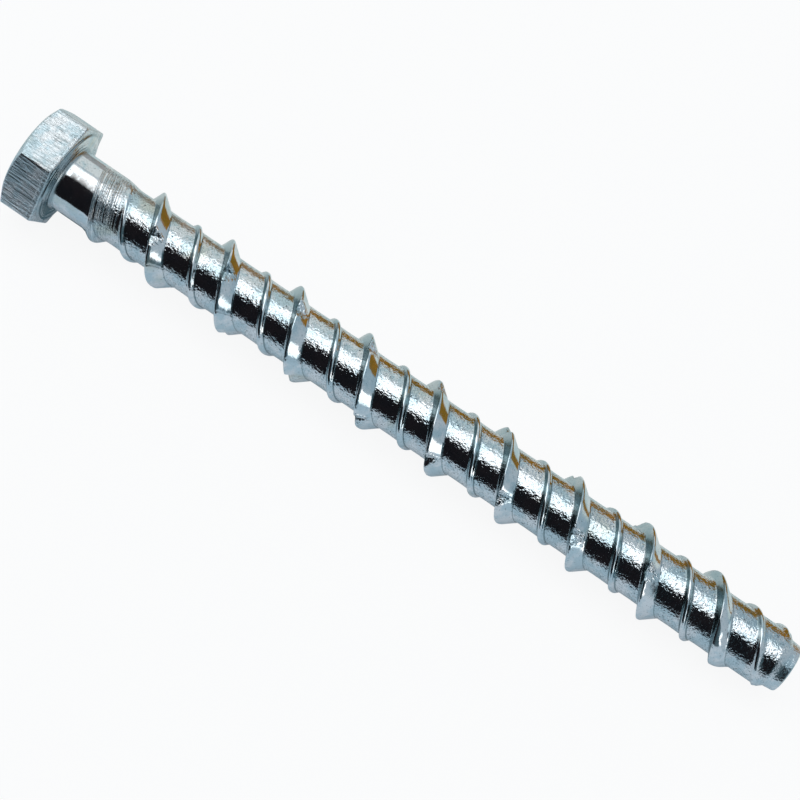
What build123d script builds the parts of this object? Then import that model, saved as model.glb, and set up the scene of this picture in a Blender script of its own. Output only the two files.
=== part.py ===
"""Concrete screw, made as one cold-formed and rolled piece of zinc plated steel.

The screw lies along +X, head first, with one flat of its hexagon facing down.
The origin is the centre of the bearing face under the head. Millimetres, +Z up.
"""

import math
import os

from build123d import *

# Hexagon head
HEAD_ACROSS_FLATS = 19.0
HEAD_HEIGHT = 7.5
HEAD_CHAMFER_ANGLE = 30.0
HEAD_TOP_DIAMETER = 18.2
REAR_EDGE_BREAK = 0.3

# Washer face, the raised ring on the bearing side of the head
WASHER_FACE_DIAMETER = 17.8
WASHER_FACE_HEIGHT = 0.35
WASHER_FACE_EDGE = 0.12

# Neck between the bearing face and the thread
NECK_DIAMETER = 11.6
NECK_LENGTH = 8.4
NECK_TAPER_END = 12.5
UNDERHEAD_RADIUS = 0.8

# Rolled rod, measured from the bearing face
SCREW_LENGTH = 150.0
CORE_DIAMETER = 10.7
LEAD = 14.5

# High thread: its flank is steep on the head side and long on the tip side
HIGH_DIAMETER = 14.7
HIGH_CREST_WIDTH = 0.4
HIGH_BASE_TO_HEAD = 0.8
HIGH_BASE_TO_TIP = 2.5

# Low thread between the turns of the high one
LOW_DIAMETER = 12.1
LOW_CREST_WIDTH = 0.4
LOW_BASE_TO_HEAD = 0.65
LOW_BASE_TO_TIP = 0.85
LOW_OFFSET = 8.2

# Run-in of each thread behind the neck, and their run-out towards the tip
HIGH_THREAD_START = 7.5
FULL_HIGH_THREAD_START = 10.6
LOW_THREAD_START = 9.5
FULL_LOW_THREAD_START = 16.0
FULL_THREAD_END = 132.5
RUN_OUT_END = 146.0
RUN_OUT_DIAMETER = 11.8
THREAD_END = 146.8

# Unthreaded pilot at the tip
CORE_END = 147.0
PILOT_START = 147.6
PILOT_DIAMETER = 9.4
TIP_DIAMETER = 8.9
TIP_CHAMFER = 0.3

# Cutting notches pressed into the crest of the high thread
NOTCH_COUNT = 25
NOTCH_PITCH = 114.4
FIRST_NOTCH_ANGLE = 474.8
NOTCH_OPENING = 3.2
NOTCH_DEPTH = 1.0
NOTCH_SLOPE = 18.0
NOTCH_REACH = 4.4

# How deep the ridges are rooted in the core, and how far tools pass the work
ROOT_DEPTH = 0.5
CLEARANCE = 1.5

CORE_RADIUS = CORE_DIAMETER / 2
HIGH_RADIUS = HIGH_DIAMETER / 2
LOW_RADIUS = LOW_DIAMETER / 2
NECK_RADIUS = NECK_DIAMETER / 2


def turned(outline):
    """Body turned about the screw's axis from an open outline of (x, radius) points."""
    first, last = outline[0], outline[-1]
    closed = Polyline(*outline, (last[0], 0), (first[0], 0), close=True)
    return revolve(make_face(closed), axis=Axis.X)


def shank():
    """Turned shank: plain neck, taper to the core, core and pilot."""
    return turned(
        [
            (-HEAD_HEIGHT / 2, NECK_RADIUS),
            (NECK_LENGTH, NECK_RADIUS),
            (NECK_TAPER_END, CORE_RADIUS),
            (CORE_END, CORE_RADIUS),
            (PILOT_START, PILOT_DIAMETER / 2),
            (SCREW_LENGTH - TIP_CHAMFER, TIP_DIAMETER / 2),
            (SCREW_LENGTH, TIP_DIAMETER / 2 - TIP_CHAMFER),
        ]
    )


def underhead_fillet():
    """Ring with the hollow radius between the bearing face and the neck."""
    foot = NECK_RADIUS + UNDERHEAD_RADIUS
    arc = RadiusArc((0, foot), (UNDERHEAD_RADIUS, NECK_RADIUS), UNDERHEAD_RADIUS)
    inside = Polyline(
        (UNDERHEAD_RADIUS, NECK_RADIUS),
        (UNDERHEAD_RADIUS, CORE_RADIUS),
        (-UNDERHEAD_RADIUS, CORE_RADIUS),
        (-UNDERHEAD_RADIUS, foot),
        (0, foot),
    )
    return revolve(make_face(arc + inside), axis=Axis.X)


def ridge(offset, to_head, to_tip, crest_width, crest_radius):
    """Helical ridge: its axial section is swept along the shank and is rooted in the core.

    The section is drawn in the XY plane, X along the axis and Y outwards, one lead before the
    bearing face, so that the high crest passes angle zero at x = 0.
    """
    height = crest_radius - CORE_RADIUS
    grow = (height + ROOT_DEPTH) / height
    half_crest = crest_width / 2
    root = CORE_RADIUS - ROOT_DEPTH
    section = Polyline(
        (offset - half_crest - (to_head - half_crest) * grow, root),
        (offset - half_crest, crest_radius),
        (offset + half_crest, crest_radius),
        (offset + half_crest + (to_tip - half_crest) * grow, root),
        close=True,
    )
    turns = math.ceil(SCREW_LENGTH / LEAD) + 1
    helix = Rot(X=90) * Rot(Y=90) * Helix(pitch=LEAD, height=turns * LEAD, radius=CORE_RADIUS)
    return Pos(X=-LEAD) * sweep(make_face(section), path=helix, is_frenet=True)


def thread_envelope(start, full_start, crest_radius):
    """Turned outline that limits a ridge: cone of its run-in, free middle, cone of the run-out."""
    run_in = (full_start - start) / (crest_radius - CORE_RADIUS)
    run_out = (RUN_OUT_END - FULL_THREAD_END) / (HIGH_RADIUS - RUN_OUT_DIAMETER / 2)
    outside = HIGH_RADIUS + CLEARANCE
    return turned(
        [
            (start, CORE_RADIUS),
            (start + (outside - CORE_RADIUS) * run_in, outside),
            (FULL_THREAD_END - CLEARANCE * run_out, outside),
            (RUN_OUT_END, RUN_OUT_DIAMETER / 2),
            (THREAD_END, CORE_RADIUS - 2 * ROOT_DEPTH),
        ]
    )


def head():
    """Hexagon head, chamfered to a circle at its outer end and broken at its rear corners."""
    hexagon = RegularPolygon(HEAD_ACROSS_FLATS / 2, 6, major_radius=False)
    block = extrude(Plane.YZ * hexagon, -HEAD_HEIGHT)
    corner = HEAD_ACROSS_FLATS / math.sqrt(3)
    outside = corner + CLEARANCE
    top = HEAD_TOP_DIAMETER / 2
    rear = -WASHER_FACE_HEIGHT
    limit = turned(
        [
            (-HEAD_HEIGHT, top),
            (-HEAD_HEIGHT + (outside - top) * math.tan(math.radians(HEAD_CHAMFER_ANGLE)), outside),
            (rear - REAR_EDGE_BREAK - CLEARANCE, outside),
            (rear, corner - REAR_EDGE_BREAK),
        ]
    )
    return block & limit


def washer_face():
    """Raised ring on the bearing side of the head, with a small bevel."""
    radius = WASHER_FACE_DIAMETER / 2
    return turned(
        [
            (-HEAD_HEIGHT / 2, radius),
            (-WASHER_FACE_EDGE, radius),
            (0, radius - WASHER_FACE_EDGE),
        ]
    )


def notch_wedge():
    """Wedge for one notch: radial along Y, along the crest in Z, its bottom edge along X."""
    above = NOTCH_DEPTH
    half_top = NOTCH_OPENING / 2 * (NOTCH_DEPTH + above) / NOTCH_DEPTH
    profile = Polyline((-NOTCH_DEPTH, 0), (above, half_top), (above, -half_top), close=True)
    wedge = extrude(Plane.YZ * make_face(profile), NOTCH_REACH)
    return Pos(X=-HIGH_BASE_TO_HEAD) * wedge


def notches():
    """Row of wedges that follows the crest of the high thread."""
    lead_angle = math.degrees(math.atan(LEAD / (math.pi * HIGH_DIAMETER)))
    wedge = Rot(Y=lead_angle) * Rot(Z=-NOTCH_SLOPE) * notch_wedge()
    angles = [FIRST_NOTCH_ANGLE + NOTCH_PITCH * number for number in range(NOTCH_COUNT)]
    return [Pos(X=LEAD * angle / 360) * Rot(X=angle) * Pos(Y=HIGH_RADIUS) * wedge for angle in angles]


def high_thread():
    """The high ridge, limited at both ends, with its cutting notches."""
    coil = ridge(0, HIGH_BASE_TO_HEAD, HIGH_BASE_TO_TIP, HIGH_CREST_WIDTH, HIGH_RADIUS)
    limit = thread_envelope(HIGH_THREAD_START, FULL_HIGH_THREAD_START, HIGH_RADIUS)
    return (coil & limit) - notches()


def low_thread():
    """The low ridge between the turns of the high one, limited at both ends."""
    coil = ridge(LOW_OFFSET, LOW_BASE_TO_HEAD, LOW_BASE_TO_TIP, LOW_CREST_WIDTH, LOW_RADIUS)
    return coil & thread_envelope(LOW_THREAD_START, FULL_LOW_THREAD_START, LOW_RADIUS)


def screw():
    """The finished piece."""
    return head() + washer_face() + shank() + underhead_fillet() + high_thread() + low_thread()


def main():
    os.makedirs("parts", exist_ok=True)
    export_step(screw(), "parts/concrete_screw.step")


if __name__ == "__main__":
    main()
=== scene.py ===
"""Zinc plated concrete screw on a pale table in soft studio light.

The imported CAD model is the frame: metres, the screw's axis along X with the head first, Z up, and
the origin in the middle of the bearing face. One closed surface in that frame stands for the CAD
node and carries the finish.
"""

import math
from types import SimpleNamespace

import bpy
import numpy as np
from bpy.props import FloatProperty, FloatVectorProperty, IntProperty, PointerProperty
from mathutils import Matrix, Vector


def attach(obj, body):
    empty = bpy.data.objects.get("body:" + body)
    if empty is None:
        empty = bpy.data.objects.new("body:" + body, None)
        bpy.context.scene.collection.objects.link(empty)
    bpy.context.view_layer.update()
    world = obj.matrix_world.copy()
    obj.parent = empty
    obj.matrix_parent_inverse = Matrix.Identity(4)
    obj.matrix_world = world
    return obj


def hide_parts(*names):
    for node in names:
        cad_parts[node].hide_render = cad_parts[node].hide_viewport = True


bl_info = {
    "name": "Concrete Screw",
    "version": (1, 0, 0),
    "blender": (4, 5, 0),
    "location": "3D View > Sidebar > Concrete Screw",
    "description": "Builds a zinc plated concrete screw and the table and lamps that show it",
    "category": "Add Mesh",
}

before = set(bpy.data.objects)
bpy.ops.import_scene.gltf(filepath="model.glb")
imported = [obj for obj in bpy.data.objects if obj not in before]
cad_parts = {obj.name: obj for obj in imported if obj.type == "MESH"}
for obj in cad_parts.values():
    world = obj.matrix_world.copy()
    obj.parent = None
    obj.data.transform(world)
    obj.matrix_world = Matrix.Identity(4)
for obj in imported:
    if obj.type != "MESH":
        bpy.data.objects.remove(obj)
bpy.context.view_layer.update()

SCREW_NODE = "concrete_screw"
BODY = "root"

MM = 0.001

# Columns round the axis, and rows along one lead of the thread
COLUMNS = 192
ROWS_PER_LEAD = 48
COLUMNS_PER_STEP = COLUMNS // ROWS_PER_LEAD
HEAD_SIDES = 6

# Rounding of the ridges' crests, feet and ends, of the notches and of the head's rear edge
CREST_ROUNDING = 0.06 * MM
FOOT_ROUNDING = 0.035 * MM
RUN_ROUNDING = 0.22 * MM
NOTCH_ROUNDING = 0.04 * MM
HEAD_ROUNDING = 0.35 * MM
WASHER_BEVEL = 0.12 * MM

# Unevenness of the rolled ridges
UNEVEN_SEED = 7
UNEVEN_HEIGHT = 0.035 * MM
CREST_WANDER = 0.05 * MM

# Rows of each card that the metal mirrors
CARD_ROWS = 24


def length(name, description, millimetres):
    """A size in metres whose default is given in millimetres."""
    return FloatProperty(
        name=name, description=description, default=millimetres * MM, unit="LENGTH", precision=5
    )


def angle(name, description, degrees):
    """An angle in radians whose default is given in degrees."""
    return FloatProperty(
        name=name, description=description, default=math.radians(degrees), subtype="ANGLE"
    )


def colour(name, description, value):
    """A colour with three channels."""
    return FloatVectorProperty(
        name=name, description=description, default=value, size=3, subtype="COLOR", min=0, max=1
    )


class ScrewSizes(bpy.types.PropertyGroup):
    """Sizes of the screw, measured along its axis from the bearing face."""

    across_flats: length("Across Flats", "Width of the hexagon between two flats", 19.0)
    head_height: length("Head Height", "From the bearing face to the outer face", 7.5)
    head_top: length("Head Top Diameter", "Flat circle inside the chamfer of the outer face", 18.2)
    head_chamfer: angle("Head Chamfer", "Slope of the chamfer against the outer face", 30.0)
    washer_diameter: length("Washer Face Diameter", "Raised ring on the bearing side", 17.8)
    washer_height: length("Washer Face Height", "How far the ring stands out", 0.35)
    underhead_radius: length("Underhead Radius", "Hollow radius between head and neck", 0.8)
    neck_diameter: length("Neck Diameter", "Plain neck under the head", 11.6)
    neck_end: length("Neck End", "Where the neck begins to taper to the core", 8.4)
    core_start: length("Core Start", "Where the taper reaches the core", 12.5)
    core_diameter: length("Core Diameter", "Core between the threads", 10.7)
    core_hollow: length("Core Hollow", "How much the core swells beside the ridges", 0.04)
    lead: length("Lead", "Advance of one turn", 14.5)
    high_diameter: length("High Thread Diameter", "Over the crests of the high thread", 14.7)
    high_crest: length("High Crest Width", "Width of the high thread's crest", 0.34)
    high_to_head: length("High Flank to Head", "Crest to foot on the head side", 0.85)
    high_to_tip: length("High Flank to Tip", "Crest to foot on the tip side", 2.5)
    low_diameter: length("Low Thread Diameter", "Over the crests of the low thread", 12.1)
    low_crest: length("Low Crest Width", "Width of the low thread's crest", 0.50)
    low_to_head: length("Low Flank to Head", "Crest to foot on the head side", 0.65)
    low_to_tip: length("Low Flank to Tip", "Crest to foot on the tip side", 0.85)
    low_offset: length("Low Offset", "From the high crest to the next low crest", 8.2)
    run_in_start: length("Run-in Start", "Where the high thread leaves the neck", 7.5)
    run_in_end: length("Run-in End", "Where the high thread reaches its full height", 10.6)
    low_start: length("Low Start", "Where the low thread begins to rise", 9.5)
    low_full: length("Low Full", "Where the low thread reaches its full height", 16.0)
    run_out_start: length("Run-out Start", "Where the high thread begins to fade", 132.5)
    run_out_end: length("Run-out End", "Where only a low swelling is left", 146.0)
    run_out_diameter: length("Run-out Diameter", "Over the thread at the run-out's end", 11.8)
    rolled_start: length("Rolled Start", "Where the rolled surface begins on the neck", 6.6)
    rolled_slant: FloatProperty(
        name="Rolled Slant", description="Slope of the rolled zone's first edge", default=0.33
    )
    rolled_turn: angle("Rolled Turn", "Angle at which that edge lies nearest to the head", 24.8)
    core_end: length("Core End", "Where the core steps down to the pilot", 147.0)
    pilot_start: length("Pilot Start", "Where the plain pilot begins", 147.6)
    pilot_diameter: length("Pilot Diameter", "Pilot at its start", 9.4)
    tip_diameter: length("Tip Diameter", "Pilot at its end", 8.9)
    tip_rounding: length("Tip Rounding", "Rounded edge of the tip", 0.35)
    total_length: length("Length", "From the bearing face to the tip", 150.0)
    notch_count: IntProperty(
        name="Notch Count", description="Cutting notches in the high crest", default=25, min=1
    )
    notch_pitch: angle("Notch Pitch", "Turn from one notch to the next", 114.4)
    first_notch: angle("First Notch", "Turn of the crest at the first notch", 474.8)
    notch_opening: length("Notch Opening", "Length of a notch along the crest", 3.2)
    notch_depth: length("Notch Depth", "Depth of a notch at the crest", 1.0)
    notch_slope: angle("Notch Slope", "Fall of the notch's floor towards the tip", 18.0)


class ZincFinish(bpy.types.PropertyGroup):
    """Colours and strengths of the zinc plating."""

    zinc: colour("Zinc", "Clean bright plating", (0.86, 0.88, 0.89))
    blue_zinc: colour("Blue Zinc", "Plating with a bluish passivation", (0.60, 0.73, 0.78))
    warm_zinc: colour("Warm Zinc", "Plating with a yellowish passivation", (0.74, 0.70, 0.56))
    # Painted shade on the steep flanks, at the feet and in the underhead crease, and also the colour of
    # the worn streaks and mottles
    seam: colour("Seams", "Dull plating on the steep flanks and at the feet", (0.17, 0.25, 0.27))
    pit: colour("Pits", "Dirt and shade in the pits of the rolled metal", (0.06, 0.08, 0.09))
    roughness: FloatProperty(
        name="Roughness", description="Roughness of the smooth metal", default=0.08, min=0, max=1
    )
    peel_depth: FloatProperty(
        name="Peel Depth",
        description="Depth of the dimples in the rolled core",
        default=0.10 * MM,
        unit="LENGTH",
        precision=6,
    )


class StudioSettings(bpy.types.PropertyGroup):
    """Table, lamps and camera."""

    table: colour("Table", "Pale table top on the near side", (0.68, 0.74, 0.79))
    # Painted sunlight: the far half of the table top is given a brighter colour
    sunlit_far_table: colour("Far Table", "Sunlit table top on the far side", (0.80, 0.84, 0.80))
    room: colour("Room", "Pale walls that the metal reflects", (0.37, 0.45, 0.51))
    far_room: colour("Far Room", "Brighter wall on the far side", (0.64, 0.70, 0.71))
    wood: colour("Wood", "Strip of wood on the far side", (0.26, 0.13, 0.018))
    dark_side: colour("Dark Side", "Dark wall on the camera's side", (0.010, 0.009, 0.011))
    shade: colour("Shade", "Dim wall between the dark side and the tip's end", (0.07, 0.11, 0.13))
    window: colour("Window", "Bright windows at both ends of the room", (1.0, 1.0, 1.0))
    softbox_radiance: FloatProperty(
        name="Softbox", description="Brightness of the softbox overhead", default=1.2, min=0
    )
    camera_distance: length("Camera Distance", "From the screw's axis to the camera", 344.45)
    camera_foot: length("Camera Foot", "Point of the axis next to the camera", 86.84)
    camera_aside: length("Camera Aside", "Camera towards the far side", 0.68)
    camera_elevation: angle("Camera Elevation", "Height of the camera above the table", 65.2)
    camera_lean: angle("Camera Lean", "Turn of the view towards the head", 2.88)
    camera_roll: angle("Camera Roll", "Slope of the screw in the picture", 34.34)


def soft_min(rounding, *values):
    """Smallest of the values with rounded corners: -rounding * log(sum of exp(-value / rounding))."""
    low = np.minimum.reduce(np.broadcast_arrays(*values))
    total = sum(np.exp((low - value) / rounding) for value in values)
    return low - rounding * np.log(total)


def soft_max(rounding, *values):
    """Largest of the values with rounded corners, as the soft minimum of their negatives."""
    return -soft_min(rounding, *[-np.asarray(value) for value in values])


def smooth(value, start, end):
    """Rises from 0 at start to 1 at end as 3t^2 - 2t^3."""
    t = np.clip((value - start) / (end - start), 0, 1)
    return t * t * (3 - 2 * t)


def wrapped(value, period):
    """The value moved by whole periods to between -period / 2 and period / 2."""
    return value - period * np.round(value / period)


def hexagon_radius(theta, across_flats):
    """Radius of the hexagon at each angle: half the width over the largest cosine to a flat's
    normal, where a power mean of the six cosines in place of the largest rounds the corners."""
    power = 75
    normals = np.radians(30 + 60 * np.arange(HEAD_SIDES))
    cosines = np.maximum(np.cos(theta[..., None] - normals), 0)
    return across_flats / 2 / np.sum(cosines**power, axis=-1) ** (1 / power)


def head_angles():
    """Column angles crowded at the six corners: q - 0.88 sin(2 pi q) / (2 pi) along each side."""
    crowding = 0.88
    q = np.arange(COLUMNS) * HEAD_SIDES / COLUMNS
    side = np.floor(q)
    q = q - side
    return (side + q - crowding * np.sin(2 * np.pi * q) / (2 * np.pi)) * 2 * np.pi / HEAD_SIDES


def ring(x, radius):
    """One row of the surface as (x, radius) for each column."""
    return np.broadcast_to(x, COLUMNS), np.broadcast_to(radius, COLUMNS)


def head_rows(s, theta):
    """Rows (x, radius) of the head from its outer face to the neck.

    Out along the flat outer face, up the chamfer cone to the hexagon, along the side faces to the
    rounded rear edge, in to the washer face, over its bevel, in to the hollow radius, and along
    that quarter circle to the neck.
    """
    hexagon = hexagon_radius(theta, s.across_flats)
    top = s.head_top / 2
    washer = s.washer_diameter / 2
    neck = s.neck_diameter / 2
    foot = neck + s.underhead_radius
    outer = -s.head_height
    rear = -s.washer_height
    rise = math.tan(s.head_chamfer)
    edge = outer + (hexagon - top) * rise

    rows = [ring(outer, share * top) for share in (0.3, 0.6, 0.85, 0.96, 0.99, 1.0)]
    for share in (0.04, 0.2, 0.5, 0.8, 0.95, 1.0):
        rows.append(ring(outer + (hexagon - top) * share * rise, top + (hexagon - top) * share))
    for share in (0.03, 0.1, 0.3, 0.55, 0.8, 0.93):
        rows.append(ring(edge + (rear - HEAD_ROUNDING - edge) * share, hexagon))
    for turn in np.radians((0, 22, 45, 68, 90)):
        x = rear - HEAD_ROUNDING * (1 - math.sin(turn))
        rows.append(ring(x, hexagon - HEAD_ROUNDING * (1 - math.cos(turn))))
    # A row stands close to each bend of the washer face, so that its edge looks crisp
    for x, radius in (
        (rear, washer + 0.05 * MM),
        (rear + 0.04 * MM, washer),
        (-WASHER_BEVEL, washer),
        (0.0, washer - WASHER_BEVEL),
        (0.0, washer - 0.4 * MM),
        (0.0, (washer + foot) / 2),
        (0.0, foot + 0.15 * MM),
    ):
        rows.append(ring(x, radius))
    for turn in np.radians((0, 15, 30, 45, 60, 75, 90)):
        x = s.underhead_radius * (1 - math.cos(turn))
        rows.append(ring(x, foot - s.underhead_radius * math.sin(turn)))
    return rows


def tip_rows(s):
    """Rows (x, radius) of the pilot: its cone, its rounded edge as a quarter circle, its flat end."""
    end = s.tip_diameter / 2
    edge = s.total_length - s.tip_rounding
    rows = []
    for share in (0.15, 0.5, 0.85):
        x = s.pilot_start + (edge - s.pilot_start) * share
        rows.append(ring(x, s.pilot_diameter / 2 + (end - s.pilot_diameter / 2) * share))
    for turn in np.radians((0, 20, 40, 60, 80, 90)):
        x = edge + s.tip_rounding * math.sin(turn)
        rows.append(ring(x, end - s.tip_rounding * (1 - math.cos(turn))))
    for share in (0.93, 0.65, 0.3):
        rows.append(ring(s.total_length, (end - s.tip_rounding) * share))
    return rows


def row_offsets(s):
    """Axial distance from the high crest for each row of one lead, crowded where the section bends.

    The rows stand at equal steps of the integral of 1 plus a bell curve at every crest and foot.
    """
    samples = 2001
    fine = np.linspace(-s.lead / 2, s.lead / 2, samples)
    low = s.low_offset - s.lead
    # Place, height and width of each bell curve
    bends = (
        (-s.high_to_head, 5.0, 0.30 * MM),
        (0.0, 6.0, 0.35 * MM),
        (s.high_to_tip, 5.0, 0.22 * MM),
        (low - s.low_to_head, 3.0, 0.25 * MM),
        (low, 4.0, 0.35 * MM),
        (low + s.low_to_tip, 3.0, 0.25 * MM),
    )
    density = np.ones_like(fine)
    for place, height, width in bends:
        away = wrapped(fine - place, s.lead) / width
        density += height * np.exp(-(away**2))
    total = np.concatenate(([0], np.cumsum((density[1:] + density[:-1]) / 2)))
    return np.interp(np.arange(ROWS_PER_LEAD) / ROWS_PER_LEAD * total[-1], total, fine)


def thread_grid(s):
    """Axial place of every vertex of the threaded rod.

    Phase m of a vertex is its row less one for every COLUMNS_PER_STEP columns, so that equal phases
    follow the helix. x is lead * (turn + whole leads of m) plus the offset of m's row in the lead,
    and at both ends it turns smoothly into plain rings.
    """
    start = 8.0 * MM
    first = int(round((start / s.lead + 0.5) * ROWS_PER_LEAD))
    last = int(round((s.core_end / s.lead + 0.5) * ROWS_PER_LEAD))
    row = np.arange(first, last + 1)[:, None]
    column = np.arange(COLUMNS)[None, :]
    phase = row - column // COLUMNS_PER_STEP
    offsets = row_offsets(s)
    helical = s.lead * (column / COLUMNS + phase // ROWS_PER_LEAD) + offsets[phase % ROWS_PER_LEAD]
    plain = s.lead * (row / ROWS_PER_LEAD - 0.5) + 0 * column
    turning = s.lead / 2
    share = smooth(plain, plain[0], plain[0] + turning)
    share = share * (1 - smooth(plain, plain[-1] - turning, plain[-1]))
    x = plain + (helical - plain) * share
    if np.diff(x, axis=0).min() <= 0:
        raise ValueError("the rows of the threaded rod fold over each other")
    return x


def ridge(offset, height, crest, to_head, to_tip, limit):
    """Height of a ridge over the core at an axial offset from its crest.

    The smallest of the two straight flanks, the crest's height and the limit, and never below
    nothing, with all its corners rounded.
    """
    half = crest / 2
    head_flank = height * (offset + to_head) / (to_head - half)
    tip_flank = height * (to_tip - offset) / (to_tip - half)
    body = soft_min(CREST_ROUNDING, head_flank, tip_flank, height)
    return soft_max(FOOT_ROUNDING, soft_min(RUN_ROUNDING, body, limit), 0.0)


def ripple(turn, rng, low, high, count):
    """Sum of sine waves of the crest's turned angle, of unit spread.

    Their frequencies per turn are drawn between low and high, and their phases freely.
    """
    frequencies = rng.uniform(low, high, count)
    phases = rng.uniform(0, 2 * np.pi, count)
    waves = sum(np.sin(frequency * turn + phase) for frequency, phase in zip(frequencies, phases))
    return waves * math.sqrt(2 / count)


def run_heights(s, x):
    """Heights over the core that the run-in and the run-out allow: straight lines along the axis.

    The run-out falls steeply in its last stretch, down to the core at its end.
    """
    core = s.core_diameter / 2
    high = s.high_diameter / 2
    last_slope = 0.6
    run_in = (x - s.run_in_start) * (high - core) / (s.run_in_end - s.run_in_start)
    fall = high - s.run_out_diameter / 2
    run_out = high - core - (x - s.run_out_start) * fall / (s.run_out_end - s.run_out_start)
    return run_in, np.minimum(run_out, (s.core_end - x) * last_slope)


def core_swell(s, x, offset):
    """Swelling of the core beside the ridges.

    Its full height times the square of the distance from the middle of the bare stretch between two
    ridges, over half that stretch. It fades out at both ends of the threads.
    """
    middle_after, half_after = 4.6 * MM, 2.25 * MM
    middle_before, half_before = -3.4 * MM, 1.85 * MM
    after_high = np.abs(offset - middle_after) / half_after
    before_high = np.abs(wrapped(offset - middle_before, s.lead)) / half_before
    swell = s.core_hollow * (np.clip(np.minimum(after_high, before_high), 0, 1) ** 2)
    return swell * smooth(x, s.run_in_start, s.run_in_end) * (1 - smooth(x, s.run_out_start, s.core_end))


def notch_walls(s, offset, turn):
    """Radius of the notch nearest to each turned angle: a V across the crest, square to it, whose
    floor falls towards the tip."""
    high = s.high_diameter / 2
    index = np.clip(np.round((turn - s.first_notch) / s.notch_pitch), 0, s.notch_count - 1)
    lead_slope = s.lead / (np.pi * s.high_diameter)
    along = (turn - s.first_notch - index * s.notch_pitch) * high + offset * lead_slope
    floor = high - s.notch_depth - offset * math.tan(s.notch_slope)
    return floor + np.abs(along) * s.notch_depth / (s.notch_opening / 2)


def thread_surface(s, x, theta):
    """Radius and surface marks of the threaded rod at each (x, angle).

    The core with its swellings, plus the high ridge and the low ridge within the run-in and the
    run-out, less the cutting notches: the smaller of the radius and a notch's walls. One mark is 1
    on the rolled core and fades where a ridge lifts off it, and the other is 1 in the notches.
    """
    core = s.core_diameter / 2
    high = s.high_diameter / 2
    low = s.low_diameter / 2
    neck = s.neck_diameter / 2
    cell = x - s.lead * theta / (2 * np.pi) + s.lead / 2
    whole = np.floor(cell / s.lead)
    offset = cell - whole * s.lead - s.lead / 2
    turn = theta + 2 * np.pi * whole

    rng = np.random.default_rng(UNEVEN_SEED)
    uneven = UNEVEN_HEIGHT * ripple(turn, rng, low=0.4, high=9.0, count=14)
    wander = CREST_WANDER * ripple(turn, rng, low=0.3, high=4.0, count=8)
    run_in, run_out = run_heights(s, x)
    high_ridge = ridge(
        offset + wander,
        high - core,
        s.high_crest,
        s.high_to_head,
        s.high_to_tip,
        np.minimum(run_in, run_out) + uneven,
    )

    narrow = 0.45
    low_share = np.clip((x - s.low_start) / (s.low_full - s.low_start), 0, 1)
    low_offset = wrapped(offset - s.low_offset, s.lead) / (narrow + (1 - narrow) * low_share)
    low_ridge = low_share * ridge(
        low_offset, low - core, s.low_crest, s.low_to_head, s.low_to_tip, run_out
    )

    base = neck + (core - neck) * smooth(x, s.neck_end, s.core_start)
    radius = base + core_swell(s, x, offset) + high_ridge + low_ridge

    past_foot = 0.6 * MM
    on_ridge = (offset > -s.high_to_head) & (offset < s.high_to_tip + past_foot)
    walls = notch_walls(s, offset, turn)
    cut = soft_min(NOTCH_ROUNDING, radius, np.maximum(walls, base))
    radius = np.where(on_ridge, cut, radius)
    mark_edge = 0.1 * MM
    notched = on_ridge * (1 - smooth(walls - radius, 0.0, mark_edge))
    notched = notched * smooth(high_ridge, 0.1 * MM, 0.5 * MM)

    rolled_edge = 0.5 * MM
    rolled = 1 - smooth(np.maximum(high_ridge, low_ridge), 0.02 * MM, 0.20 * MM)
    slanted = x + s.rolled_slant * base * np.cos(theta - s.rolled_turn)
    rolled = rolled * smooth(slanted, s.rolled_start, s.rolled_start + rolled_edge)
    return radius, rolled, notched


def screw_arrays(s):
    """Vertices, faces and marks of the whole screw as one closed surface.

    Each row holds x, radius, angle and the two marks of every column. The rows run from the head's
    outer face to the tip, and a fan of triangles closes each end at a pole on the axis.
    """
    crowded = head_angles()
    even = np.arange(COLUMNS) * 2 * np.pi / COLUMNS
    unmarked = np.zeros((2, COLUMNS))
    rows = [(*row, crowded, *unmarked) for row in head_rows(s, crowded)]

    thread_x = thread_grid(s)
    neck_start = s.underhead_radius
    neck_steps = 7
    for step in range(1, neck_steps):
        share = step / neck_steps
        row = ring(neck_start + (thread_x[0] - neck_start) * share, s.neck_diameter / 2)
        rows.append((*row, crowded + (even - crowded) * smooth(share, 0, 1), *unmarked))

    theta = np.broadcast_to(even, thread_x.shape)
    rows.extend(
        (x, radius, even, rolled, notched)
        for x, radius, rolled, notched in zip(thread_x, *thread_surface(s, thread_x, theta))
    )
    rows.extend((*row, even, *unmarked) for row in tip_rows(s))

    x, r, theta, rolled, notched = np.moveaxis(np.array(rows), 1, 0)
    grid = np.stack((x, r * np.cos(theta), r * np.sin(theta)), axis=-1).reshape(-1, 3)
    poles = np.array([[-s.head_height, 0, 0], [s.total_length, 0, 0]])
    vertices = np.concatenate((grid, poles))
    marks = {"rolled": np.append(rolled, (0, 0)), "notched": np.append(notched, (0, 0))}

    index = np.arange(x.size).reshape(x.shape)
    right = np.roll(index, -1, axis=1)
    quads = np.stack((index[:-1], right[:-1], right[1:], index[1:]), axis=-1).reshape(-1, 4)
    head_pole, tip_pole = x.size, x.size + 1
    head_fan = np.stack((np.full(COLUMNS, head_pole), right[0], index[0]), axis=-1)
    tip_fan = np.stack((index[-1], right[-1], np.full(COLUMNS, tip_pole)), axis=-1)
    return vertices, quads, np.concatenate((head_fan, tip_fan)), marks


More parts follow.
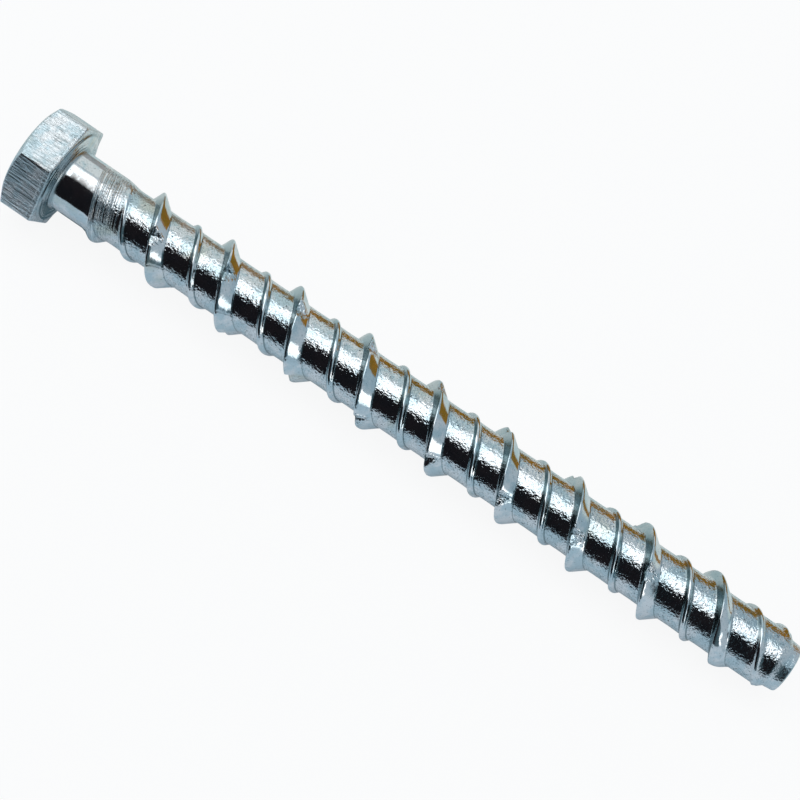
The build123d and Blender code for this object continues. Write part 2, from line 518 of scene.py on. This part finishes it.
def surface_object(name, vertices, quads, triangles, marks=None):
    """Mesh object from whole arrays of vertices, quads and triangles, with float marks per vertex."""
    mesh = bpy.data.meshes.new(name)
    corners = np.concatenate((quads.ravel(), triangles.ravel())).astype(np.int32)
    sizes = np.concatenate((np.full(len(quads), 4), np.full(len(triangles), 3))).astype(np.int32)
    starts = np.concatenate(([0], np.cumsum(sizes)[:-1])).astype(np.int32)
    mesh.vertices.add(len(vertices))
    mesh.vertices.foreach_set("co", np.ascontiguousarray(vertices, dtype=np.float32).ravel())
    mesh.loops.add(len(corners))
    mesh.loops.foreach_set("vertex_index", corners)
    mesh.polygons.add(len(sizes))
    mesh.polygons.foreach_set("loop_start", starts)
    mesh.polygons.foreach_set("loop_total", sizes)
    mesh.polygons.foreach_set("use_smooth", np.ones(len(sizes), dtype=bool))
    for mark, values in (marks or {}).items():
        attribute = mesh.attributes.new(mark, "FLOAT", "POINT")
        attribute.data.foreach_set("value", values.astype(np.float32))
    mesh.update()
    if mesh.validate():
        raise RuntimeError(f"the mesh of {name} was not valid")
    thing = bpy.data.objects.new(name, mesh)
    bpy.context.scene.collection.objects.link(thing)
    return thing


class Nodes:
    """Small helper that adds shader nodes to one tree and links them."""

    def __init__(self, tree):
        self.tree = tree
        tree.nodes.clear()

    def add(self, kind, settings=None, **inputs):
        """Adds a node, sets its own settings, then its sockets by name to a value or a link."""
        node = self.tree.nodes.new(kind)
        for key, value in (settings or {}).items():
            setattr(node, key, value)
        for key, value in inputs.items():
            self.set(node.inputs[key.replace("_", " ")], value)
        return node

    def set(self, socket, value):
        """Links a socket to another one or sets its value."""
        if isinstance(value, bpy.types.NodeSocket):
            self.tree.links.new(value, socket)
        else:
            socket.default_value = value

    def math(self, operation, first, second=0.0, third=0.0):
        """One Math node."""
        node = self.tree.nodes.new("ShaderNodeMath")
        node.operation = operation
        for socket, value in zip(node.inputs, (first, second, third)):
            self.set(socket, value)
        return node.outputs[0]

    def product(self, first, *others):
        """All the values multiplied."""
        for other in others:
            first = self.math("MULTIPLY", first, other)
        return first

    def largest(self, first, *others):
        """The largest of the values."""
        for other in others:
            first = self.math("MAXIMUM", first, other)
        return first

    def linear(self, value, slope, offset):
        """Slope times the value plus the offset, each a number or another node's value."""
        return self.math("MULTIPLY_ADD", value, slope, offset)

    def span(self, value, low, high, to_low=0.0, to_high=1.0):
        """Maps low..high to to_low..to_high with a smooth step, clamped."""
        node = self.tree.nodes.new("ShaderNodeMapRange")
        node.interpolation_type = "SMOOTHSTEP"
        for socket, number in zip(node.inputs[:5], (value, low, high, to_low, to_high)):
            self.set(socket, number)
        return node.outputs[0]

    def wrapped(self, value, period):
        """The value moved by whole periods to between -period / 2 and period / 2."""
        return self.math("WRAP", value, period / 2, -period / 2)

    def between(self, value, rise_start, rise_end, fall_start, fall_end):
        """1 from the end of the rise to the start of the fall, and 0 outside both."""
        rise = self.span(value, rise_start, rise_end)
        return self.product(rise, self.span(value, fall_end, fall_start))

    def near(self, value, place, width):
        """1 at the place and for a third of the width beside it, falling to 0 at the width."""
        flat_share = 0.35
        away = self.math("ABSOLUTE", self.math("SUBTRACT", value, place))
        return self.span(away, width, width * flat_share)

    def blend(self, factor, first, second):
        """The first colour where the factor is 0 and the second where it is 1."""
        node = self.tree.nodes.new("ShaderNodeMix")
        node.data_type = "RGBA"
        for number, value in ((0, factor), (6, first), (7, second)):
            self.set(node.inputs[number], value)
        return node.outputs[2]

    def mark(self, name):
        """The surface's own float attribute of that name."""
        return self.add("ShaderNodeAttribute", {"attribute_name": name}).outputs["Fac"]

    def noise(self, vector, scale, detail=2.0, rough=0.5):
        """Noise with its scale in waves per metre."""
        node = self.add(
            "ShaderNodeTexNoise", Vector=vector, Scale=scale, Detail=detail, Roughness=rough
        )
        return node.outputs["Fac"]


def new_material(name):
    """A material and the helper for its empty node tree."""
    material = bpy.data.materials.new(name)
    material.use_nodes = True
    return material, Nodes(material.node_tree)


def opaque(rgb):
    """The colour with full alpha."""
    return (*rgb, 1.0)


def thread_distance(n, s, parts):
    """Axial distance from the high crest: x less the lead's share of the angle, wrapped to one lead."""
    turn = n.math("ARCTAN2", parts["Z"], parts["Y"])
    return n.wrapped(n.linear(turn, -s.lead / (2 * math.pi), parts["X"]), s.lead)


def painted_shade_mask(n, s, high, parts):
    """Where shade is painted into the plating's colour: the steep flanks on the head side, and thin
    lines at the feet on the tip side, both fainter on the far side of the screw and gone at the ends
    of the threads."""
    high_foot_depth, low_foot_depth, far_depth = 0.6, 0.8, 0.35
    first, full, fading, last = 8.2 * MM, 9.8 * MM, 138.0 * MM, 146.0 * MM
    x = parts["X"]
    low = n.wrapped(n.math("SUBTRACT", high, s.low_offset), s.lead)
    high_start, low_start = -s.high_to_head, -s.low_to_head
    high_flank = n.between(
        high, high_start - 0.10 * MM, high_start + 0.05 * MM, -0.25 * MM, -0.10 * MM
    )
    low_flank = n.between(
        low, low_start - 0.08 * MM, low_start + 0.04 * MM, -0.30 * MM, -0.18 * MM
    )
    high_foot = n.product(n.near(high, s.high_to_tip, 0.12 * MM), high_foot_depth)
    low_foot = n.product(n.near(low, s.low_to_tip, 0.18 * MM), low_foot_depth)
    low_shade = n.product(n.largest(low_flank, low_foot), n.span(x, s.low_start, s.low_full))
    return n.product(
        n.largest(high_flank, high_foot, low_shade),
        n.span(parts["Y"], 2.0 * MM, 5.0 * MM, 1.0, far_depth),
        n.between(x, first, full, fading, last),
    )


def zinc_zones(n, s, parts, radius, slanted):
    """Masks, from 0 to 1, of the zones in which the plating looks different."""
    x = parts["X"]
    rear = -s.washer_height
    washer = s.washer_diameter / 2
    foot = s.neck_diameter / 2 + s.underhead_radius
    head = n.span(x, rear + 0.05 * MM, rear - 0.15 * MM)
    edge = n.product(head, n.span(x, rear - 1.05 * MM, rear - 0.65 * MM))
    behind = n.between(x, rear - 0.15 * MM, rear + 0.05 * MM, 0.4 * MM, 1.0 * MM)
    ledge = n.product(behind, n.span(radius, washer, washer + 0.2 * MM))
    bevel = n.product(behind, n.near(radius, washer - 0.05 * MM, 0.25 * MM))
    fillet = n.product(behind, n.span(radius, foot - 0.1 * MM, foot - 0.5 * MM))
    high = thread_distance(n, s, parts)
    start = s.rolled_start
    return SimpleNamespace(
        head=head,
        rim=n.largest(edge, ledge),
        bearing=n.product(behind, n.span(radius, foot - 0.4 * MM, foot)),
        # Painted shade in the crease of the underhead hollow and at the washer face's bevel
        crease_shade=n.largest(fillet, bevel),
        fillet=fillet,
        run_in=n.between(slanted, start, start + 0.2 * MM, start + 3.0 * MM, start + 6.0 * MM),
        rolled=n.mark("rolled"),
        notched=n.mark("notched"),
        flank=n.between(high, 0.3 * MM, 0.5 * MM, s.high_to_tip - 0.2 * MM, s.high_to_tip),
        # Painted shade on the steep head-side flanks and in thin lines at the feet
        seam=painted_shade_mask(n, s, high, parts),
        tip=n.span(x, s.core_end, s.core_end + 0.3 * MM),
    )


def zinc_patterns(n, place, radius, slanted):
    """Noise patterns of the plating. The streaks are drawn out along the axis, the rings vary only
    along it, and the hoops only with the radius."""
    drawn_out = n.add("ShaderNodeMapping", Vector=place, Scale=(0.08, 1, 1)).outputs["Vector"]
    rings = n.add("ShaderNodeCombineXYZ", X=slanted).outputs[0]
    hoops = n.add("ShaderNodeCombineXYZ", X=radius).outputs[0]
    # Each with its coordinates, waves per metre, octaves and roughness
    return SimpleNamespace(
        peel=n.noise(place, 1900, 1.5, 0.6),
        grain=n.noise(place, 4600, 2.0, 0.6),
        waves=n.noise(place, 420, 2.0, 0.5),
        rings=n.span(n.noise(rings, 2600, 3.0, 0.6), 0.47, 0.62),
        hoops=n.noise(hoops, 1500, 2.0, 0.6),
        streaks=n.noise(drawn_out, 2400, 3.0, 0.65),
        stains=n.noise(place, 260, 4.0, 0.65),
        tints=n.noise(place, 120, 2.0, 0.5),
        specks=n.noise(place, 2500, 2.0, 0.55),
    )


def zinc_dents(n, zones, patterns):
    """Height of the plating's texture in peel depths: a sum of patterns, each in its own zone."""
    plain_share = 0.06
    dents = n.product(patterns.peel, n.linear(zones.rolled, 1.0, plain_share))
    for pattern, zone, depth in (
        (patterns.grain, zones.rolled, 0.22),
        (patterns.rings, zones.run_in, 1.7),
        (patterns.streaks, zones.head, 2.0),
        (patterns.hoops, zones.bearing, 3.0),
        (patterns.peel, zones.rim, 1.6),
        (patterns.peel, zones.notched, 2.2),
        (patterns.peel, zones.tip, 0.9),
    ):
        dents = n.linear(n.product(pattern, zone), depth, dents)
    return n.linear(patterns.waves, 0.35, dents)


def zinc_tone(n, f, zones, patterns, pits):
    """Colour of the plating: clean zinc stained bluish and yellowish, darkened in streaks on the
    head and in mottles where it is worn or rolled, with painted shade in the underhead crease, on the
    steep flanks and at the feet, and darkened in the pits."""
    warm_depth, streak_depth, crease_shade_depth = 0.6, 0.7, 0.55
    plain_wear, rolled_wear, rim_wear, flank_relief = 0.22, 0.26, 0.6, 0.6
    tone = n.blend(n.span(patterns.stains, 0.40, 0.60), opaque(f.zinc), opaque(f.blue_zinc))
    warmth = n.span(patterns.tints, 0.60, 0.75, 0.0, warm_depth)
    tone = n.blend(warmth, tone, opaque(f.warm_zinc))
    streaks = n.product(n.span(patterns.streaks, 0.55, 0.70), zones.head, streak_depth)
    worn = n.linear(zones.rolled, rolled_wear, plain_wear)
    worn = n.largest(n.product(zones.rim, rim_wear), worn)
    worn = n.product(worn, n.linear(zones.flank, -flank_relief, 1.0))
    mottles = n.product(n.span(patterns.grain, 0.50, 0.62), worn)
    # Wear in the streaks and mottles, and painted shade in the underhead crease, on the steep flanks and
    # at the feet, all darken to one colour
    for factor in (streaks, mottles, n.product(zones.crease_shade, crease_shade_depth), zones.seam):
        tone = n.blend(factor, tone, opaque(f.seam))
    return n.blend(pits, tone, opaque(f.pit))


def zinc_roughness(n, f, zones, patterns, pits):
    """Roughness of the smooth metal, uneven with the stains, with more added in rougher zones."""
    unevenness = 0.06
    roughness = n.linear(patterns.stains, unevenness, f.roughness - unevenness / 2)
    for zone, more in (
        (zones.head, 0.20),
        (zones.bearing, 0.10),
        (zones.fillet, 0.20),
        (zones.tip, 0.14),
        (zones.flank, 0.03),
        (zones.seam, 0.12),
        (pits, 0.30),
    ):
        roughness = n.linear(zone, more, roughness)
    return roughness


def zinc_material(s, f):
    """Bright zinc: dimpled where the core was rolled, scored in rings at the run-in, streaked on the
    head's sides, grainy at the head's rear edge and at the tip, with painted shade on the steep
    flanks, at the feet and in the underhead crease, and with pits."""
    material, n = new_material("bright_zinc")
    place = n.add("ShaderNodeTexCoord").outputs["Object"]
    parts = n.add("ShaderNodeSeparateXYZ", Vector=place).outputs
    squares = [n.math("POWER", parts[axis], 2.0) for axis in "YZ"]
    radius = n.math("SQRT", n.math("ADD", *squares))
    slanted = n.linear(parts["Y"], s.rolled_slant * math.cos(s.rolled_turn), parts["X"])
    slanted = n.linear(parts["Z"], s.rolled_slant * math.sin(s.rolled_turn), slanted)
    zones = zinc_zones(n, s, parts, radius, slanted)
    patterns = zinc_patterns(n, place, radius, slanted)
    pits = n.product(n.span(patterns.specks, 0.64, 0.70), n.linear(zones.rolled, 0.6, 0.4))
    dents = zinc_dents(n, zones, patterns)
    bump = n.add("ShaderNodeBump", Strength=1.0, Distance=f.peel_depth, Height=dents)
    shader = n.add(
        "ShaderNodeBsdfPrincipled",
        Base_Color=zinc_tone(n, f, zones, patterns, pits),
        Metallic=1.0,
        Roughness=zinc_roughness(n, f, zones, patterns, pits),
        Normal=bump.outputs[0],
    )
    n.add("ShaderNodeOutputMaterial", Surface=shader.outputs[0])
    return material


def bright_to(n, factor, seen, shaded):
    """Shaded surface mixed with light of the seen colour for the rays that the factor picks."""
    glow = n.add("ShaderNodeEmission", Color=seen, Strength=1.0)
    mix = n.add("ShaderNodeMixShader")
    for socket, value in zip(mix.inputs, (factor, shaded, glow.outputs[0])):
        n.set(socket, value)
    return mix.outputs[0]


def table_material(st):
    """Matt pale table. Camera, glossy and transmission rays see it near white with a soft shadow."""
    camera_glow, mirrored_glow = 0.90, 0.25
    paper = (0.97, 0.97, 0.97, 1.0)
    white = (1.0, 1.0, 1.0, 1.0)
    material, n = new_material("pale_table")
    path = n.add("ShaderNodeLightPath").outputs
    place = n.add("ShaderNodeTexCoord").outputs["Object"]
    y = n.add("ShaderNodeSeparateXYZ", Vector=place).outputs["Y"]
    mottle = n.span(n.noise(place, 6), 0.3, 0.7, 0.0, 0.1)
    tone = n.blend(mottle, opaque(st.table), opaque(st.room))
    # Painted sunlight: beyond the screw's axis the table takes the brighter far colour
    tone = n.blend(n.span(y, -0.004, 0.006), tone, opaque(st.sunlit_far_table))
    matt = n.add("ShaderNodeBsdfDiffuse", Color=n.blend(path["Is Camera Ray"], tone, paper))
    seen = n.blend(path["Is Camera Ray"], tone, white)
    mirrored = n.largest(path["Is Glossy Ray"], path["Is Transmission Ray"])
    share = n.largest(
        n.product(path["Is Camera Ray"], camera_glow), n.product(mirrored, mirrored_glow)
    )
    n.add("ShaderNodeOutputMaterial", Surface=bright_to(n, share, seen, matt.outputs[0]))
    return material


def card_material(name, rgb, second, fade, strength):
    """Glowing card in one colour, which fades to a second between two places along an axis."""
    material, n = new_material(name)
    tone = opaque(rgb)
    if fade:
        axis, start, end = fade
        place = n.add("ShaderNodeTexCoord").outputs["Object"]
        along = n.add("ShaderNodeSeparateXYZ", Vector=place).outputs[axis]
        tone = n.blend(n.span(along, start, end), opaque(rgb), opaque(second))
    glow = n.add("ShaderNodeEmission", Color=tone, Strength=strength)
    n.add("ShaderNodeOutputMaterial", Surface=glow.outputs[0])
    return material


def sheet_object(name, place, columns, rows):
    """Open sheet on a grid: its place is a function of u and v, each from 0 to 1."""
    v, u = np.meshgrid(np.linspace(0, 1, rows), np.linspace(0, 1, columns), indexing="ij")
    vertices = np.stack(place(u, v), axis=-1).reshape(-1, 3)
    index = np.arange(u.size).reshape(u.shape)
    quads = np.stack((index[:-1, :-1], index[:-1, 1:], index[1:, 1:], index[1:, :-1]), axis=-1)
    return surface_object(name, vertices, quads.reshape(-1, 4), np.zeros((0, 3), int))


def table_height(s, x):
    """Height of the table under each x: the line through the bottom of the head's outer edge and that
    of the last full crest."""
    turns_to_crest = 8.75
    head_bottom = -s.across_flats / 2
    crest_bottom = -s.high_diameter / 2
    reach = s.lead * turns_to_crest + s.head_height
    return head_bottom + (x + s.head_height) * (crest_bottom - head_bottom) / reach


def near_wall(u, v):
    """Part of a tube round the screw, from the table on the near side up to the camera."""
    radius = 0.7
    head_end, reach = -1.2, 2.6
    lowest, sweep = -0.6, 73
    turn = np.radians(lowest + v * sweep)
    return head_end + u * reach, -radius * np.cos(turn), radius * np.sin(turn)


def far_strip(u, v):
    """Strip of wood on the far side: over three quarters of v it lies at the table's slope, and over
    the rest it rises as a low wall."""
    flat_share = 0.75
    head_end, reach = -0.12, 0.305
    middle_height, slope = -0.0088, 0.016
    near_edge, far_edge = 0.038 - 0.004 * u, 0.085
    wall = 0.029 + 0.003 * u
    x = head_end + u * reach
    y = near_edge + (far_edge - near_edge) * np.minimum(v / flat_share, 1)
    z = middle_height + slope * x + wall * np.maximum(v - flat_share, 0) / (1 - flat_share)
    return x, y, z


def flat_sheet(corner, first_edge, second_edge):
    """Flat sheet as a function of u and v: its corner plus u and v times its two edges."""

    def place(u, v):
        axes = zip(corner, first_edge, second_edge)
        return tuple(start + u * first + v * second for start, first, second in axes)

    return place


# Cards that the metal mirrors, each as a function of u and v
CARD_PLACES = {
    "dark_side": near_wall,
    # Dark floor before the table's edge on the near side
    "dark_floor": flat_sheet((-1.2, -0.062, -0.0068), (2.6, 0, 0), (0, -0.64, 0)),
    # Sheet beyond the softbox's far edge, which fades to the room
    "softbox_fade": flat_sheet((-1.3, 0.42, 0.9), (1.66, 0, 0), (0, 0.20, 0)),
    # Sheet under the softbox's near edge beyond the head, which fades to it from the dark wall
    "neck_fade": flat_sheet((-1.3, -0.36, 0.88), (1.11, 0, 0), (0, 0.42, 0)),
    # Bright wall on the far side, up to the softbox
    "far_wall": flat_sheet((-1.3, 0.8, 0.03), (2.3, 0, 0), (0, 0, 1.1)),
    "wood": far_strip,
    # Shaded table under the neck, which the bearing face mirrors
    "neck_shade": flat_sheet((0.0005, -0.0056, -0.0091), (0.007, 0, 0), (0, 0.0081, 0)),
    # Dark bands along the foot of the walls beyond the head and the tip
    "head_skirting": flat_sheet((-1.4, -0.9, -0.03), (0, 1.8, 0), (0, 0, 0.31)),
    "tip_skirting": flat_sheet((1.6, -0.6, -0.03), (0, 1.2, 0), (0, 0, 0.16)),
    # Tall window beyond the head
    "head_window": flat_sheet((-1.4, -0.5, 0.3), (0, 0.9, 0), (0, 0, 1.1)),
    # Small screen on the table beyond the tip, which hides the low window from the last turns
    "tip_screen": flat_sheet((0.17, -0.016, -0.006), (0, 0.014, 0), (0, 0, 0.018)),
    # Low window beyond the tip
    "tip_window": flat_sheet((1.5, -0.66, 0.01), (0, 0.56, 0), (0, 0, 0.46)),
}


def mirror_card(name, rgb, second=None, fade=None, strength=1.0):
    """Card that is seen only in the metal, and takes no light away."""
    card = sheet_object(name, CARD_PLACES[name], 2, CARD_ROWS)
    card.data.materials.append(card_material(name, rgb, second, fade, strength))
    card.visible_camera = False
    card.visible_diffuse = False
    card.visible_shadow = False
    card.visible_transmission = False
    return card


def table_top(s):
    """Flat table at its height under the screw."""
    reach = 3.0

    def place(u, v):
        x = (2 * u - 1) * reach
        return x, (2 * v - 1) * reach, table_height(s, x)

    return sheet_object("table", place, 2, 2)


def add_camera(st):
    """Camera from its distance, foot on the axis and elevation, leaning towards the head and rolled."""
    axis = Vector((1, 0, 0))
    away = Vector((0, -math.cos(st.camera_elevation), math.sin(st.camera_elevation)))
    near = Vector((0, -math.sin(st.camera_elevation), -math.cos(st.camera_elevation)))
    back = away * math.cos(st.camera_lean) + axis * math.sin(st.camera_lean)
    along = axis * math.cos(st.camera_lean) - away * math.sin(st.camera_lean)
    right = along * math.cos(st.camera_roll) - near * math.sin(st.camera_roll)
    up = -along * math.sin(st.camera_roll) - near * math.cos(st.camera_roll)
    place = axis * st.camera_foot + away * st.camera_distance - near * st.camera_aside
    camera = bpy.data.objects.new("camera", bpy.data.cameras.new("camera"))
    camera.matrix_world = Matrix(
        (
            (right.x, up.x, back.x, place.x),
            (right.y, up.y, back.y, place.y),
            (right.z, up.z, back.z, place.z),
            (0, 0, 0, 1),
        )
    )
    camera.data.lens = 90
    camera.data.sensor_width = 36
    camera.data.clip_start = 0.01
    camera.data.clip_end = 20
    bpy.context.scene.collection.objects.link(camera)
    bpy.context.scene.camera = camera


def add_softbox(st):
    """Large area lamp overhead. Its power is pi times its area times the brightness."""
    height = 0.9
    head_end, tip_end = -1.3, 0.36
    near_edge, far_edge = -0.28, 0.42
    lamp = bpy.data.lights.new("softbox", "AREA")
    lamp.shape = "RECTANGLE"
    lamp.size = tip_end - head_end
    lamp.size_y = far_edge - near_edge
    lamp.energy = math.pi * lamp.size * lamp.size_y * st.softbox_radiance
    thing = bpy.data.objects.new("softbox", lamp)
    thing.location = ((head_end + tip_end) / 2, (near_edge + far_edge) / 2, height)
    thing.visible_camera = False
    bpy.context.scene.collection.objects.link(thing)


def add_world(st):
    """World of the room's colour, which camera rays see as white."""
    world = bpy.data.worlds.new("room")
    bpy.context.scene.world = world
    world.use_nodes = True
    n = Nodes(world.node_tree)
    path = n.add("ShaderNodeLightPath").outputs
    tone = n.blend(path["Is Camera Ray"], opaque(st.room), (1.0, 1.0, 1.0, 1.0))
    background = n.add("ShaderNodeBackground", Color=tone, Strength=1.0)
    n.add("ShaderNodeOutputWorld", Surface=background.outputs[0])


class MESH_OT_concrete_screw(bpy.types.Operator):
    """Make the screw's surface and its zinc finish in place of the CAD node"""

    bl_idname = "mesh.concrete_screw"
    bl_label = "Add Concrete Screw"

    def execute(self, context):
        sizes = context.scene.screw_sizes
        vertices, quads, triangles, marks = screw_arrays(sizes)
        screw = surface_object("zinc_plated_screw", vertices, quads, triangles, marks)
        screw.data.materials.append(zinc_material(sizes, context.scene.zinc_finish))
        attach(screw, BODY)
        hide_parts(SCREW_NODE)
        return {"FINISHED"}


class SCENE_OT_concrete_screw_stage(bpy.types.Operator):
    """Make the table, the softbox, the room, the cards that the metal mirrors, and the camera"""

    bl_idname = "scene.concrete_screw_stage"
    bl_label = "Add Table and Lamps"

    def execute(self, context):
        studio = context.scene.screw_studio
        table = table_top(context.scene.screw_sizes)
        table.data.materials.append(table_material(studio))
        cards = [
            mirror_card("dark_side", studio.dark_side, studio.shade, ("X", 0.3, 0.7)),
            mirror_card("dark_floor", studio.dark_side, studio.shade, ("X", 0.3, 0.7)),
            mirror_card("softbox_fade", studio.window, studio.room, ("Y", 0.42, 0.60)),
            mirror_card("neck_fade", studio.dark_side, studio.window, ("Y", -0.33, 0.06)),
            mirror_card("far_wall", studio.far_room, studio.room, ("X", 0.05, 0.20)),
            mirror_card("wood", studio.room, studio.wood, ("X", -0.06, 0.05)),
            mirror_card("neck_shade", studio.shade),
            mirror_card("head_skirting", studio.shade),
            mirror_card("tip_skirting", studio.shade),
            mirror_card("head_window", studio.window),
            mirror_card("tip_screen", studio.room),
            mirror_card("tip_window", studio.window, strength=1.7),
        ]

        add_softbox(studio)
        add_world(studio)
        add_camera(studio)
        context.scene.view_settings.view_transform = "Standard"
        return {"FINISHED"}


class VIEW3D_PT_concrete_screw(bpy.types.Panel):
    """Sizes, finish and studio, with the buttons that build them"""

    bl_label = "Concrete Screw"
    bl_space_type = "VIEW_3D"
    bl_region_type = "UI"
    bl_category = "Concrete Screw"

    def draw(self, context):
        scene = context.scene
        for group, operator in (
            (scene.screw_sizes, MESH_OT_concrete_screw),
            (scene.zinc_finish, None),
            (scene.screw_studio, SCENE_OT_concrete_screw_stage),
        ):
            box = self.layout.box()
            for name in group.__annotations__:
                box.prop(group, name)
            if operator:
                box.operator(operator.bl_idname)


CLASSES = (
    ScrewSizes,
    ZincFinish,
    StudioSettings,
    MESH_OT_concrete_screw,
    SCENE_OT_concrete_screw_stage,
    VIEW3D_PT_concrete_screw,
)


def register():
    for cls in CLASSES:
        bpy.utils.register_class(cls)
    bpy.types.Scene.screw_sizes = PointerProperty(type=ScrewSizes)
    bpy.types.Scene.zinc_finish = PointerProperty(type=ZincFinish)
    bpy.types.Scene.screw_studio = PointerProperty(type=StudioSettings)


def unregister():
    del bpy.types.Scene.screw_studio
    del bpy.types.Scene.zinc_finish
    del bpy.types.Scene.screw_sizes
    for cls in reversed(CLASSES):
        bpy.utils.unregister_class(cls)


def main():
    register()
    bpy.ops.mesh.concrete_screw()
    bpy.ops.scene.concrete_screw_stage()


if __name__ == "__main__":
    main()
